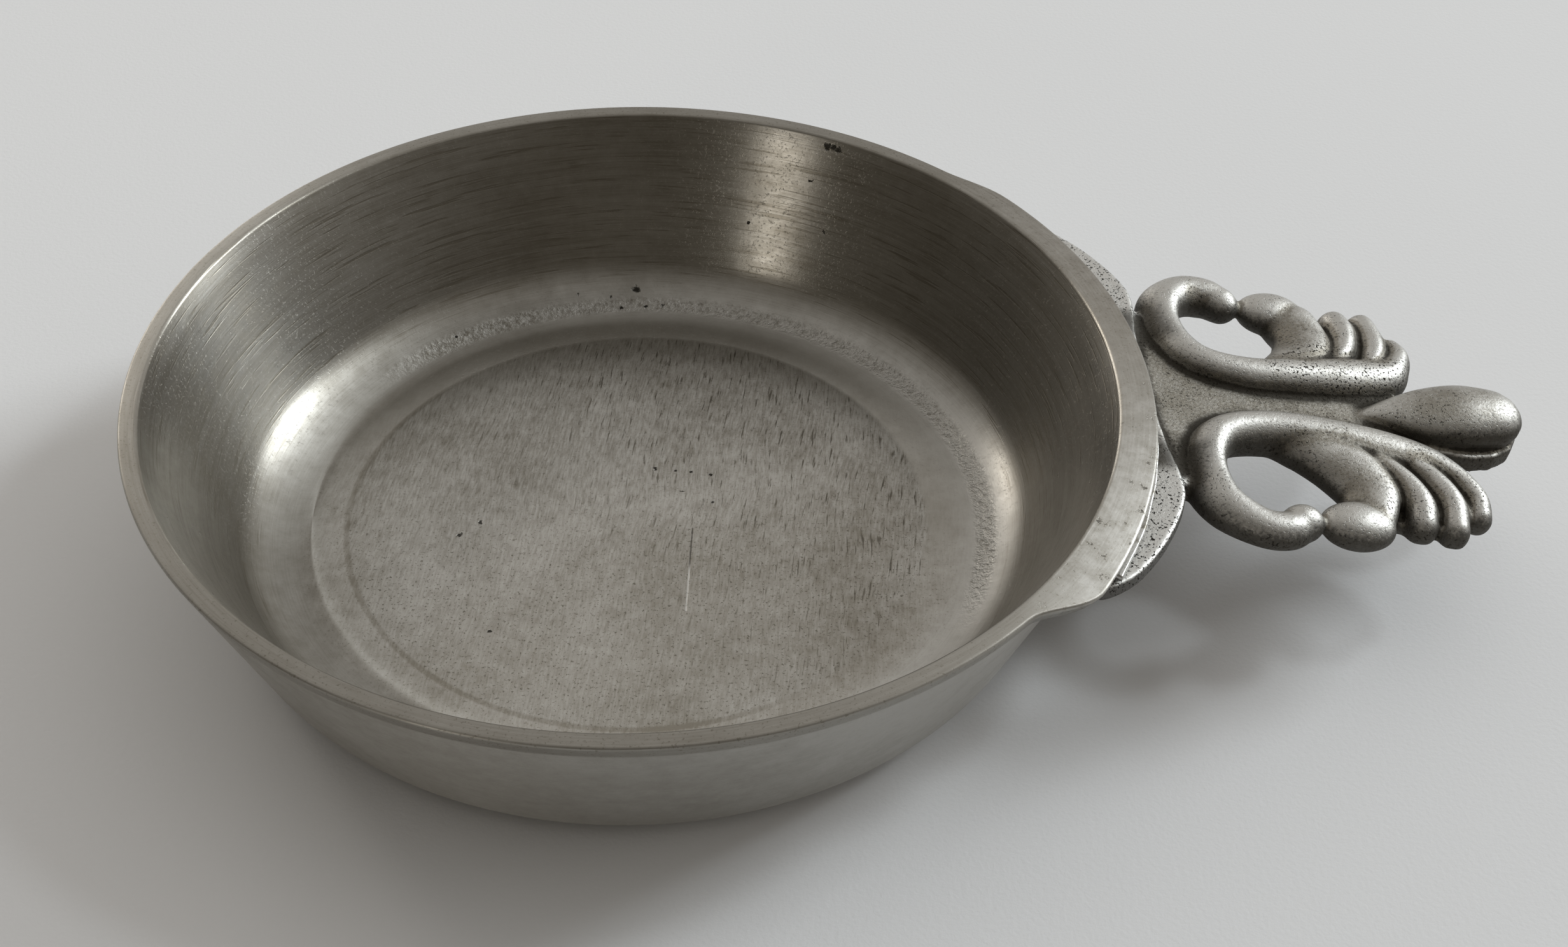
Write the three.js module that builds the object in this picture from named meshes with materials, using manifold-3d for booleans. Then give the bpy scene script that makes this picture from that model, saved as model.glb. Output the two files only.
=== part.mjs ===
// A pewter wine taster: a shallow turned bowl with a crescent lip, an openwork cast handle,
// and the solder that holds the handle's bracket under the lip.
// Millimetres, +Z up. The origin is the middle of the base on the table. The handle points along +X.

import * as THREE from 'three';
import { mergeVertices } from 'three/addons/utils/BufferGeometryUtils.js';
import Module from 'manifold-3d';

const { degToRad } = THREE.MathUtils;

// Bowl, a body of revolution
const RIM_RADIUS = 52.5;
const RIM_WIDTH = 2.0;
const RIM_ROUND = 0.5;
const BOWL_HEIGHT = 22.5;
const FLOOR_THICKNESS = 2.2;
const OUTER_LEAN = degToRad(21.5);
const INNER_LEAN = degToRad(24.5);
const OUTER_CORNER = 6.5;
const INNER_CORNER = 7;
const BOWL_SIDES = 72;
const BOWL_ARC_STEPS = 3;

// Steps in every other rounded edge and curved outline
const EDGE_STEPS = 2;
const OUTLINE_STEPS = 16;

// Lip, the crescent that widens the rim on the handle side
const LIP_REACH = 1.75;
const LIP_END_REACH = 2.3;
const LIP_HALF_ANGLE = degToRad(37);
const LIP_SHOULDER = degToRad(9);
const LIP_SHOULDER_BULGE = 0.25;
const LIP_THICKNESS = 1.7;
const LIP_CHAMFER = 0.5;

// Bracket, the level crescent of the handle that sits under the lip
const BRACKET_ROOT_BEYOND = 2.9;
const BRACKET_ROOT_ASIDE = 17.9;
const BRACKET_MID_BEYOND = 1.9;
const BRACKET_SWELL = 6.2;
const BRACKET_SWELL_ANGLE = degToRad(28.5);
const BRACKET_END_REACH = 2.0;
const BRACKET_HALF_ANGLE = degToRad(34.5);
const BRACKET_THICKNESS = 3.4;
const BRACKET_ROUND = 0.7;

// Solder between the lip and the bracket
const SOLDER_THICKNESS = 0.6;
const SOLDER_BEAD = 0.3;
const SOLDER_ROUND = 0.15;
const SOLDER_HALF_ANGLE = degToRad(33);
const SEAM_GAP = 0.3;

// Handle plate, drooping from the rim. Heights in the handle are taken from its middle plane.
const HANDLE_DROOP = degToRad(8.5);
const HANDLE_DROP = 4.0;
const BACK_DEPTH = 1.9;
const GROUND_HEIGHT = 0.5;
const BAR_SIDES = 12;
const BAR_CAP_STEPS = 3;

// Balls at the end of the scroll and of the inner leaf. They meet, which closes the ear's hole.
const VOLUTE_BALL = { beyond: 13.9, aside: 18.5, height: 0.0, radii: [2.3, 2.1, 2.0] };
const KNOB_INSET = 0.6;
const KNOB = { beyond: 20.1, aside: VOLUTE_BALL.aside - KNOB_INSET, height: -0.2, radii: [4.1, 3.0, 2.2] };
const BALL_SIDES = 12;
const BALL_RINGS = 8;

// The scroll's end lies this far inside the middle of its ball, and its last turn swings this far past it.
const SCROLL_END_INSET = 0.5;
const SCROLL_TURN_OUT = 1.0;

// Ear: bars of the handle's +Y half. Each station is how far it lies beyond the rim, how far from
// the axis, its height, and the half width and half height of the bar there.
const SCROLL = [
  [14.2, VOLUTE_BALL.aside - SCROLL_END_INSET, 0.0, 1.7, 1.6],
  [12.6, VOLUTE_BALL.aside + SCROLL_TURN_OUT, -0.1, 2.1, 1.9],
  [9.6, VOLUTE_BALL.aside + SCROLL_TURN_OUT, -0.1, 2.2, 1.9],
  [6.7, 16.9, 0.0, 2.2, 2.1],
  [5.8, 12.6, 0.0, 2.2, 2.2],
  [6.8, 8.6, 0.1, 2.3, 2.3],
  [9.4, 5.8, 0.2, 2.3, 2.4],
  [14.2, 4.6, 0.2, 2.5, 2.5],
  [20.0, 5.0, 0.2, 2.8, 2.6],
  [26.4, 6.1, 0.1, 3.2, 2.5],
  [31.0, 7.2, 0.0, 2.6, 2.3],
  [33.5, 9.4, -0.1, 1.9, 2.2],
  [34.4, 12.4, -0.2, 1.7, 2.1],
  [34.2, 14.8, -0.3, 1.5, 1.8],
];
const INNER_LEAF = [
  [16.0, 5.0, -0.5, 2.2, 2.0],
  [19.4, 7.0, -0.1, 2.9, 2.3],
  [21.8, 9.8, 0.1, 3.1, 2.3],
  [22.6, 13.0, 0.0, 3.0, 2.1],
  [22.0, 16.0, -0.2, 2.7, 2.0],
];
const FIRST_LEAF = [
  [22.4, 5.6, -0.2, 1.0, 1.4],
  [25.2, 8.4, 0.0, 1.5, 2.0],
  [26.8, 11.0, 0.0, 1.8, 2.2],
  [27.6, 14.2, -0.1, 1.95, 2.2],
  [27.5, 16.8, -0.4, 1.7, 1.9],
];
const SECOND_LEAF = [
  [25.8, 5.6, -0.2, 1.0, 1.4],
  [28.7, 7.9, 0.0, 1.4, 2.0],
  [30.4, 10.4, 0.0, 1.7, 2.2],
  [31.2, 13.8, -0.1, 1.85, 2.2],
  [31.0, 17.1, -0.4, 1.6, 1.9],
];
const BAR_STEPS_PER_SPAN = 3;

// Leaf bed, the thin plate under the leaves, which is the floor of the grooves between them.
// Its corners are given as beyond the rim and aside of the axis.
const LEAF_BED_EDGE = [[20, 4.5], [22, 16.4], [25, 16.6], [28, 17], [31.2, 16.8], [33.5, 14], [31, 6]];
const LEAF_BED_HEIGHT = -0.4;

// Bud at the end of the handle, and the thin leaf that it lies on
const BUD = [
  [25.5, 0, 0.0, 0.5, 0.5],
  [29.0, 0, 0.5, 2.3, 1.6],
  [33.0, 0, 1.1, 3.9, 2.3],
  [37.0, 0, 1.7, 4.4, 2.7],
  [40.0, 0, 1.9, 4.0, 2.7],
];
const BUD_LEAF = [
  [28.0, 0, -1.0, 3.0, 1.4],
  [33.0, 0, -0.9, 4.6, 1.5],
  [38.0, 0, -0.6, 5.1, 1.6],
  [39.9, 0, -0.5, 4.3, 1.6],
];

// Ground, the flat sandy plate between the two ears
const GROUND_ROOT_ASIDE = 16.4;
const GROUND_ROOT_BEYOND = 5.6;
const GROUND_WAIST_ASIDE = 4.5;
const GROUND_WAIST_BEYOND = 12;
const GROUND_END_ASIDE = 4;
const GROUND_END_BEYOND = 30;

const PEWTER = { color: 0x8f8d89, metalness: 0.9, roughness: 0.42 };
const CAST_PEWTER = { color: 0x86847f, metalness: 0.9, roughness: 0.5 };
const SOLDER = { color: 0xa9a8a4, metalness: 0.9, roughness: 0.4 };

const wasm = await Module();
wasm.setup();

// Solids

function solid(geometry) {
  const bare = new THREE.BufferGeometry();
  bare.setAttribute('position', geometry.getAttribute('position'));
  bare.setIndex(geometry.getIndex());
  const merged = mergeVertices(bare);
  const corners = merged.getIndex().array;
  const triangles = [];
  for (let i = 0; i < corners.length; i += 3) {
    const [a, b, c] = corners.slice(i, i + 3);
    if (a !== b && b !== c && c !== a) triangles.push(a, b, c);
  }
  return new wasm.Manifold(new wasm.Mesh({
    numProp: 3,
    vertProperties: merged.getAttribute('position').array,
    triVerts: Uint32Array.from(triangles),
  }));
}

function joined(geometries) {
  return geometries.map(solid).reduce((whole, body) => whole.add(body));
}

function namedMesh(name, body, finish) {
  const { vertProperties, triVerts } = body.getMesh();
  const geometry = new THREE.BufferGeometry();
  geometry.setAttribute('position', new THREE.BufferAttribute(vertProperties, 3));
  geometry.setIndex(new THREE.BufferAttribute(triVerts, 1));
  geometry.computeVertexNormals();
  const mesh = new THREE.Mesh(geometry, new THREE.MeshStandardMaterial(finish));
  mesh.name = name;
  return mesh;
}

// Forms

function polar(radius, angle) {
  return [radius * Math.cos(angle), radius * Math.sin(angle)];
}

function turned(path) {
  return new THREE.LatheGeometry(path.getPoints(BOWL_ARC_STEPS), BOWL_SIDES).rotateX(Math.PI / 2);
}

// A slab of the outline, from one height up to another, with rounded edges.
function slab(outline, low, high, edge) {
  return new THREE.ExtrudeGeometry(outline, {
    depth: high - low - 2 * edge,
    bevelThickness: edge,
    bevelSize: edge,
    bevelOffset: -edge,
    bevelSegments: EDGE_STEPS,
    curveSegments: OUTLINE_STEPS,
  }).translate(0, 0, low + edge);
}

// A rounded bar along a smooth line through its stations, closed by domed ends.
function bar(stations, side) {
  const line = new THREE.CatmullRomCurve3(stations.map(([x, y, z]) => new THREE.Vector3(x, side * y, z)));
  const girth = new THREE.CatmullRomCurve3(stations.map(([, , , w, h]) => new THREE.Vector3(w, h, 0)));
  const steps = BAR_STEPS_PER_SPAN * (stations.length - 1);
  const positions = [];
  const up = new THREE.Vector3(0, 0, 1);

  function ring(t, bulge) {
    const along = line.getTangent(t);
    const across = new THREE.Vector3().crossVectors(up, along).normalize();
    const rise = new THREE.Vector3().crossVectors(along, across);
    const size = girth.getPoint(t);
    const scale = Math.cos(bulge);
    const centre = line.getPoint(t).addScaledVector(along, size.x * Math.sin(bulge));
    for (let i = 0; i < BAR_SIDES; i++) {
      const turn = (2 * Math.PI * i) / BAR_SIDES;
      const point = centre.clone();
      point.addScaledVector(across, scale * size.x * Math.cos(turn));
      point.addScaledVector(rise, scale * size.y * Math.sin(turn));
      positions.push(...point.toArray());
    }
  }

  function pole(t, direction) {
    const tip = line.getPoint(t).addScaledVector(line.getTangent(t), direction * girth.getPoint(t).x);
    positions.push(...tip.toArray());
  }

  const dome = Math.PI / 2 / BAR_CAP_STEPS;
  for (let k = BAR_CAP_STEPS - 1; k > 0; k--) ring(0, -k * dome);
  for (let k = 0; k <= steps; k++) ring(k / steps, 0);
  for (let k = 1; k < BAR_CAP_STEPS; k++) ring(1, k * dome);
  const rings = positions.length / 3 / BAR_SIDES;
  pole(0, -1);
  pole(1, 1);

  const index = [];
  const start = rings * BAR_SIDES;
  const end = start + 1;
  const last = start - BAR_SIDES;
  for (let i = 0; i < BAR_SIDES; i++) {
    const next = (i + 1) % BAR_SIDES;
    index.push(start, next, i, end, last + i, last + next);
    for (let r = 0; r < last; r += BAR_SIDES) {
      index.push(r + i, r + next, r + BAR_SIDES + i);
      index.push(r + next, r + BAR_SIDES + next, r + BAR_SIDES + i);
    }
  }
  const geometry = new THREE.BufferGeometry();
  geometry.setAttribute('position', new THREE.Float32BufferAttribute(positions, 3));
  geometry.setIndex(index);
  return geometry;
}

function ball({ beyond, aside, height, radii }, side) {
  return new THREE.SphereGeometry(1, BALL_SIDES, BALL_RINGS)
    .scale(...radii)
    .translate(beyond, side * aside, height);
}

// Bowl

// Cutters reach up to here, well above the rim.
const CUT_TOP = 2 * BOWL_HEIGHT;

function outerRadius(height) {
  return RIM_RADIUS - Math.tan(OUTER_LEAN) * (BOWL_HEIGHT - height);
}

function innerRadius(height) {
  return RIM_RADIUS - RIM_WIDTH - Math.tan(INNER_LEAN) * (BOWL_HEIGHT - height);
}

// The bowl as cast, before it is turned out
function outerProfile() {
  const cornerTop = OUTER_CORNER * (1 - Math.sin(OUTER_LEAN));
  const baseRadius = outerRadius(cornerTop) - OUTER_CORNER * Math.cos(OUTER_LEAN);
  const shoulder = BOWL_HEIGHT - RIM_ROUND;
  const path = new THREE.Path();
  path.moveTo(0, 0);
  path.lineTo(baseRadius, 0);
  path.absarc(baseRadius, OUTER_CORNER, OUTER_CORNER, -Math.PI / 2, -OUTER_LEAN, false);
  path.lineTo(outerRadius(shoulder), shoulder);
  path.quadraticCurveTo(RIM_RADIUS, BOWL_HEIGHT, RIM_RADIUS - RIM_ROUND, BOWL_HEIGHT);
  path.lineTo(0, BOWL_HEIGHT);
  return path;
}

// The hollow that is turned out of it, open at the top
function hollowProfile() {
  const cornerTop = FLOOR_THICKNESS + INNER_CORNER * (1 - Math.sin(INNER_LEAN));
  const floorRadius = innerRadius(cornerTop) - INNER_CORNER * Math.cos(INNER_LEAN);
  const inside = RIM_RADIUS - RIM_WIDTH;
  const shoulder = BOWL_HEIGHT - RIM_ROUND;
  const path = new THREE.Path();
  path.moveTo(0, FLOOR_THICKNESS);
  path.lineTo(floorRadius, FLOOR_THICKNESS);
  path.absarc(floorRadius, FLOOR_THICKNESS + INNER_CORNER, INNER_CORNER, -Math.PI / 2, -INNER_LEAN, false);
  path.lineTo(innerRadius(shoulder), shoulder);
  path.quadraticCurveTo(inside, BOWL_HEIGHT, inside + RIM_ROUND, BOWL_HEIGHT);
  path.lineTo(inside + RIM_ROUND, CUT_TOP);
  path.lineTo(0, CUT_TOP);
  return path;
}

// The lip's outer edge is one arc, through its reach on the axis and its reach at both ends.
function lipArc(extra) {
  const mid = RIM_RADIUS + LIP_REACH + extra;
  const end = RIM_RADIUS + LIP_END_REACH + extra;
  const endX = end * Math.cos(LIP_HALF_ANGLE);
  const endY = end * Math.sin(LIP_HALF_ANGLE);
  const radius = ((mid - endX) ** 2 + endY ** 2) / (2 * (mid - endX));
  const centre = mid - radius;
  return { centre, radius, endX, endY };
}

function lipOutline() {
  const { centre, radius, endX, endY } = lipArc(0);
  const spread = Math.asin(endY / radius);
  const [meetX, meetY] = polar(RIM_RADIUS, LIP_HALF_ANGLE + LIP_SHOULDER);
  const bulge = LIP_SHOULDER_BULGE * LIP_SHOULDER;
  const cornerX = endX - endY * bulge;
  const cornerY = endY + endX * bulge;
  const outline = new THREE.Shape();
  outline.moveTo(0, 0);
  outline.lineTo(meetX, -meetY);
  outline.quadraticCurveTo(cornerX, -cornerY, endX, -endY);
  outline.absarc(centre, 0, radius, -spread, spread, false);
  outline.quadraticCurveTo(cornerX, cornerY, meetX, meetY);
  return outline;
}

function makeBowl() {
  const lip = slab(lipOutline(), BOWL_HEIGHT - LIP_THICKNESS, BOWL_HEIGHT, LIP_CHAMFER);
  return joined([turned(outerProfile()), lip]).subtract(solid(turned(hollowProfile())));
}

// What keeps the handle and the solder clear of the wall
function wallClearance() {
  const path = new THREE.Path();
  path.moveTo(0, 0);
  path.lineTo(outerRadius(0) + SEAM_GAP, 0);
  path.lineTo(outerRadius(CUT_TOP) + SEAM_GAP, CUT_TOP);
  path.lineTo(0, CUT_TOP);
  return solid(turned(path));
}

// Handle

const SOLDER_TOP = BOWL_HEIGHT - LIP_THICKNESS - SEAM_GAP;
const BRACKET_TOP = SOLDER_TOP - SOLDER_THICKNESS - SEAM_GAP;

function bracket() {
  const foot = BRACKET_TOP - BRACKET_THICKNESS;
  const [endX, endY] = polar(RIM_RADIUS + BRACKET_END_REACH, BRACKET_HALF_ANGLE);
  const [swellX, swellY] = polar(RIM_RADIUS + BRACKET_SWELL, BRACKET_SWELL_ANGLE);
  const rootX = RIM_RADIUS + BRACKET_ROOT_BEYOND;
  const midX = RIM_RADIUS + BRACKET_MID_BEYOND;
  const outline = new THREE.Shape();
  outline.moveTo(0, 0);
  outline.lineTo(endX, -endY);
  outline.quadraticCurveTo(swellX, -swellY, rootX, -BRACKET_ROOT_ASIDE);
  outline.quadraticCurveTo(midX, -BRACKET_ROOT_ASIDE / 2, midX, 0);
  outline.quadraticCurveTo(midX, BRACKET_ROOT_ASIDE / 2, rootX, BRACKET_ROOT_ASIDE);
  outline.quadraticCurveTo(swellX, swellY, endX, endY);
  return slab(outline, foot, BRACKET_TOP, BRACKET_ROUND);
}

function plate(outline, height) {
  return new THREE.ExtrudeGeometry(outline, {
    depth: BACK_DEPTH + height,
    bevelEnabled: false,
    curveSegments: OUTLINE_STEPS,
  }).translate(0, 0, -BACK_DEPTH);
}

function ground() {
  const outline = new THREE.Shape();
  const rootX = GROUND_ROOT_BEYOND;
  const waistX = GROUND_WAIST_BEYOND;
  outline.moveTo(0, -BRACKET_ROOT_ASIDE);
  outline.lineTo(rootX, -GROUND_ROOT_ASIDE);
  outline.quadraticCurveTo(rootX, -GROUND_WAIST_ASIDE, waistX, -GROUND_WAIST_ASIDE);
  outline.lineTo(GROUND_END_BEYOND, -GROUND_END_ASIDE);
  outline.lineTo(GROUND_END_BEYOND, GROUND_END_ASIDE);
  outline.lineTo(waistX, GROUND_WAIST_ASIDE);
  outline.quadraticCurveTo(rootX, GROUND_WAIST_ASIDE, rootX, GROUND_ROOT_ASIDE);
  outline.lineTo(0, BRACKET_ROOT_ASIDE);
  return plate(outline, GROUND_HEIGHT);
}

function leafBed(side) {
  const corners = LEAF_BED_EDGE.map(([x, y]) => new THREE.Vector2(x, side * y));
  return plate(new THREE.Shape(corners), LEAF_BED_HEIGHT);
}

function ear(side) {
  const bars = [SCROLL, INNER_LEAF, FIRST_LEAF, SECOND_LEAF].map((stations) => bar(stations, side));
  return [...bars, leafBed(side), ball(VOLUTE_BALL, side), ball(KNOB, side)];
}

// The casting's back is flat, so everything below it is cut away.
function belowBack() {
  const size = 2 * RIM_RADIUS;
  return new THREE.BoxGeometry(size, size, size).translate(size / 2, 0, -BACK_DEPTH - size / 2);
}

function drooped(geometry) {
  return geometry.rotateY(HANDLE_DROOP).translate(RIM_RADIUS, 0, BOWL_HEIGHT - HANDLE_DROP);
}

function makeHandle() {
  const forms = [ground(), ...ear(1), ...ear(-1), bar(BUD_LEAF, 1), bar(BUD, 1)];
  const casting = joined(forms.map(drooped)).subtract(solid(drooped(belowBack())));
  return casting.add(solid(bracket())).subtract(wallClearance());
}

// Solder

function makeSolder() {
  const { centre, radius } = lipArc(SOLDER_BEAD);
  const spread = Math.asin(((RIM_RADIUS + LIP_REACH) * Math.sin(SOLDER_HALF_ANGLE)) / radius);
  const outline = new THREE.Shape();
  outline.moveTo(0, 0);
  outline.absarc(centre, 0, radius, -spread, spread, false);
  const bead = slab(outline, SOLDER_TOP - SOLDER_THICKNESS, SOLDER_TOP, SOLDER_ROUND);
  return solid(bead).subtract(wallClearance());
}

const taster = new THREE.Group();
taster.add(namedMesh('bowl', makeBowl(), PEWTER));
taster.add(namedMesh('handle', makeHandle(), CAST_PEWTER));
taster.add(namedMesh('solder_seam', makeSolder(), SOLDER));

export default taster;
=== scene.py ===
"""A pewter wine taster: a turned bowl with a crescent lip, an openwork cast handle and the solder
that joins them, on a sheet of pale paper."""

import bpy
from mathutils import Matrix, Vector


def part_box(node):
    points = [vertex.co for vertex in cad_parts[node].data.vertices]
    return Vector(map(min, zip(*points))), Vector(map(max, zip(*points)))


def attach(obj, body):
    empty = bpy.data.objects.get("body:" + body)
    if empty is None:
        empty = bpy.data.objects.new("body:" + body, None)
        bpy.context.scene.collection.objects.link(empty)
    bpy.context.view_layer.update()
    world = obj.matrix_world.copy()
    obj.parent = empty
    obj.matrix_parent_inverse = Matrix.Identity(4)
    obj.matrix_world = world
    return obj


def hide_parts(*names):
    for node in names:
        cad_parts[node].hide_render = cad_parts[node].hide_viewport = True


bl_info = {
    "name": "Pewter wine taster",
    "version": (1, 0, 0),
    "blender": (4, 5, 0),
    "location": "View3D > Sidebar > Taster",
    "description": "Models a pewter wine taster around its packed solids",
    "category": "Add Mesh",
}

from math import atan2, copysign, cos, degrees, hypot, pi, radians, sin, sqrt, tan

import bmesh
import bpy
import numpy as np
from bmesh.types import BMEdge, BMVert
from mathutils import Matrix, Vector, noise

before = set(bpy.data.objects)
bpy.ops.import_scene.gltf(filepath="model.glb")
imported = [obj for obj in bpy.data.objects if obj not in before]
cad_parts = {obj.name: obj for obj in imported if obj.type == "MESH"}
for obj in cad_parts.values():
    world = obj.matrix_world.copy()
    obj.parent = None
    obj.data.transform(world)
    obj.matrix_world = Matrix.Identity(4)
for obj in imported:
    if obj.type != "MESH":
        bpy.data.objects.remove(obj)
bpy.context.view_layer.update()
BOWL_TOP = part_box("bowl")[1].z

MM = 0.001
UP = Vector((0, 0, 1))
ORIGIN = Vector((0, 0, 0))

# Places closer than the first count as the same, and points closer than the second are merged.
TOUCH = 0.01 * MM
MERGE = 0.001 * MM

# The handle's bars, in millimetres, in a plane that droops from the rim. Each station is how far
# it lies beyond the rim, how far from the axis, its height, its half width, its half height, and
# how far its ridge leans to the left of the way the bar runs on the +Y ear, as a share of the width.
SCROLL = [
    (14.2, 18.0, 0.0, 1.7, 1.6, 0.0),
    (12.6, 19.5, -0.1, 2.1, 1.9, 0.0),
    (9.6, 19.5, -0.1, 2.2, 1.9, 0.0),
    (6.7, 16.9, 0.0, 2.2, 2.1, 0.2),
    (5.8, 12.6, 0.0, 2.2, 2.2, 0.35),
    (6.8, 8.6, 0.1, 2.3, 2.3, 0.2),
    (9.4, 5.8, 0.2, 2.3, 2.4, 0.0),
    (14.2, 4.6, 0.2, 2.5, 2.5, 0.0),
    (20.0, 5.0, 0.2, 2.8, 2.6, 0.0),
    (26.4, 6.1, 0.1, 3.2, 2.5, 0.0),
    (31.0, 7.2, 0.0, 2.6, 2.3, 0.0),
    (33.5, 9.4, -0.1, 1.9, 2.2, 0.0),
    (34.4, 12.4, -0.2, 1.7, 2.1, 0.0),
    (34.2, 14.8, -0.3, 1.5, 1.8, 0.0),
]
INNER_LEAF = [
    (16.0, 5.0, -0.5, 2.2, 2.0, 0.0),
    (19.4, 7.0, -0.1, 2.9, 2.3, -0.1),
    (21.8, 9.8, 0.1, 3.1, 2.3, -0.3),
    (22.6, 13.0, 0.0, 3.0, 2.1, -0.3),
    (22.0, 16.0, -0.2, 2.7, 2.0, -0.3),
]
FIRST_LEAF = [
    (22.4, 5.6, -0.2, 1.0, 1.4, 0.0),
    (25.2, 8.4, 0.0, 1.5, 2.0, 0.0),
    (26.8, 11.0, 0.0, 1.8, 2.2, 0.0),
    (27.6, 14.2, -0.1, 1.95, 2.2, 0.0),
    (27.5, 16.8, -0.4, 1.7, 1.9, 0.0),
]
SECOND_LEAF = [
    (25.8, 5.6, -0.2, 1.0, 1.4, 0.0),
    (28.7, 7.9, 0.0, 1.4, 2.0, 0.0),
    (30.4, 10.4, 0.0, 1.7, 2.2, 0.0),
    (31.2, 13.8, -0.1, 1.85, 2.2, 0.0),
    (31.0, 17.1, -0.4, 1.6, 1.9, 0.0),
]
BUD = [
    (25.5, 0, 0.0, 0.5, 0.5, 0.0),
    (29.0, 0, 0.5, 2.3, 1.6, 0.0),
    (33.0, 0, 1.1, 3.9, 2.3, 0.0),
    (37.0, 0, 1.7, 4.4, 2.7, 0.0),
    (40.0, 0, 1.9, 4.0, 2.7, 0.0),
]

# How upright the lower sides of a bar stand, from 0, round, to 1.
SCROLL_UPRIGHT = 0.2
LEAF_UPRIGHT = 0.8
BUD_UPRIGHT = 0.0

# The section of a bar: how much its sides are straightened when they stand fully upright, how much
# its ridge is sharpened, and how far round its domed ends go.
SIDE_STRAIGHTENING = 0.85
RIDGE_SHARPENING = 1.2
DOME_END = radians(85)

# The knobs of an ear: place, and radius along each axis.
VOLUTE_BALL = ((13.9, 18.5, 0.0), (2.3, 2.1, 2.0))
KNOB = ((20.1, 17.9, -0.2), (4.1, 3.0, 2.2))

# Outlines of the flat plates: how far beyond the rim, and how far from the axis. The plates reach
# below the flat back by the spare, which is cut off.
LEAF_BED = [(20, 4.5), (22, 16.4), (25, 16.6), (28, 17.0), (31.2, 16.8), (33.5, 14.0), (31, 6)]
GROUND_EDGE = [(0, 15.6), (5.2, 14.4), (6.0, 10.5), (7.8, 6.8), (12, 4.5), (24, 4.0), (29, 2.8)]
BUD_LEAF = [(27, 2.8), (30, 3.6), (33, 4.6), (37.5, 5.2), (40.5, 4.5), (42.9, 2.9), (44.1, 0.8)]
PLATE_SPARE = 1.0

# The two ears differ by hand work. The near one reaches out further; the far one is shorter, and
# narrower at its end, in millimetres; and the far scroll is stouter, by a share of its width.
NEAR_REACH = 1.2
FAR_SHORT = 1.0
FAR_NARROW = 1.8
FAR_STOUT = 0.18

# The bracket's outer edge: degrees from the handle's axis, and reach beyond the rim in millimetres.
BRACKET_EDGE = [
    (0, 1.9), (9, 3.0), (15.5, 5.1), (19, 5.5), (24, 5.1), (28, 4.5), (31, 3.8), (33, 2.9), (34.5, 2.0),
]

# Pits on the inside of the bowl, in millimetres: place and radius.
PITS = [
    ((1.8, 7.7, 2.2), 0.27),
    ((4.0, 7.2, 2.2), 0.20),
    ((5.8, 6.9, 2.2), 0.20),
    ((8.2, 6.5, 2.2), 0.28),
    ((8.2, 1.7, 2.2), 0.23),
    ((4.8, 3.7, 2.2), 0.22),
    ((-19.5, -3.0, 2.2), 0.30),
    ((-17.4, -1.0, 2.2), 0.20),
    ((-15.4, -17.8, 2.2), 0.24),
    ((23.0, 44.5, 21.5), 0.50),
    ((23.7, 44.1, 21.5), 0.50),
    ((24.3, 43.7, 21.4), 0.45),
    ((-0.5, 40.5, 3.3), 0.60),
    ((-2.3, 38.0, 2.3), 0.26),
    ((0.8, 38.2, 2.3), 0.26),
    ((2.8, 38.3, 2.4), 0.20),
    ((-3.8, 39.6, 2.9), 0.22),
    ((-7.7, 39.5, 3.1), 0.20),
    ((-22.3, 32.1, 2.6), 0.26),
    ((13.5, 43.4, 11.3), 0.24),
    ((21.1, 43.3, 17.3), 0.24),
    ((22.6, 39.8, 12.1), 0.22),
]

# The long scratch on the floor, from its dark start to its bright end.
SCRATCH = ((5.9, -2.5, 2.2), (5.0, -15.3, 2.2))

# On the handle: the crest of the far ear, where pits lie thickest, and the dull end of the bud.
PITTED_CREST = (79, 6, 19)
DULL_BUD = (90, 0, 17)

# Hollows of the handle, fine and wide: rounds of smoothing, and the depth that counts as full.
HOLLOWS = ((20, 0.3 * MM), (110, 1.2 * MM))

# The lip's section: heights of its edge, underside and root over the lip's lower limit, how much of
# the rim's width is drawn out with it, and how far its underside stays behind its edge.
LIP_LEVELS = (0.45 * MM, 0.1 * MM, -0.25 * MM)
LIP_BAND = 0.9 * MM
LIP_UNDERCUT = 0.35 * MM

# Steps of the roundings in the bowl's section, and cuts in each of its long runs.
FLOOR_CORNER_STEPS = 20
RIM_INNER_STEPS = 5
RIM_OUTER_STEPS = 7
BASE_CORNER_STEPS = 12
LONG_RUN = 5 * MM
RUN_CUTS = 6

# Steps along the bracket and the solder, the rounding of the solder as a share of its thickness, and
# the size of the lumps that it ran into.
BRACKET_STEPS = 90
SOLDER_STEPS = 240
SOLDER_ROUND = 0.3
SOLDER_ROUND_STEPS = 3
SOLDER_LUMP = 4 * MM

# The lights: name, place and size in metres, power in watts, and tint.
DAYLIGHT = (0.895, 0.96, 1.0)
LAMPS = [
    ("window", (8.8, 4.6, 4.7), 3.2, 710, DAYLIGHT),
    ("skylight", (0.78, 0.24, 0.86), 0.14, 1.5, DAYLIGHT),
    ("back_lamp", (-0.58, 1.0, 0.29), 0.5, 2.0, (1.0, 0.96, 0.90)),
    ("front_lamp", (-0.70, -0.92, 0.29), 0.2, 0.85, (1.0, 0.96, 0.89)),
    ("left_lamp", (-0.74, 0.82, 0.46), 0.2, 0.9, (1.0, 0.95, 0.87)),
]

# The way to the light side of the room, and where the light grows, from -1 opposite it to 1 there.
LIGHT_SIDE = Vector((0.35, 0.72, 0.55)).normalized()
LIGHT_GROWS = (-0.4, 1.0)

# Half the paper's side and the nearest that the camera sees, in metres, and its sensor in millimetres.
PAPER_HALF = 2.5
CAMERA_NEAREST = 0.01
CAMERA_SENSOR = 36


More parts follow.
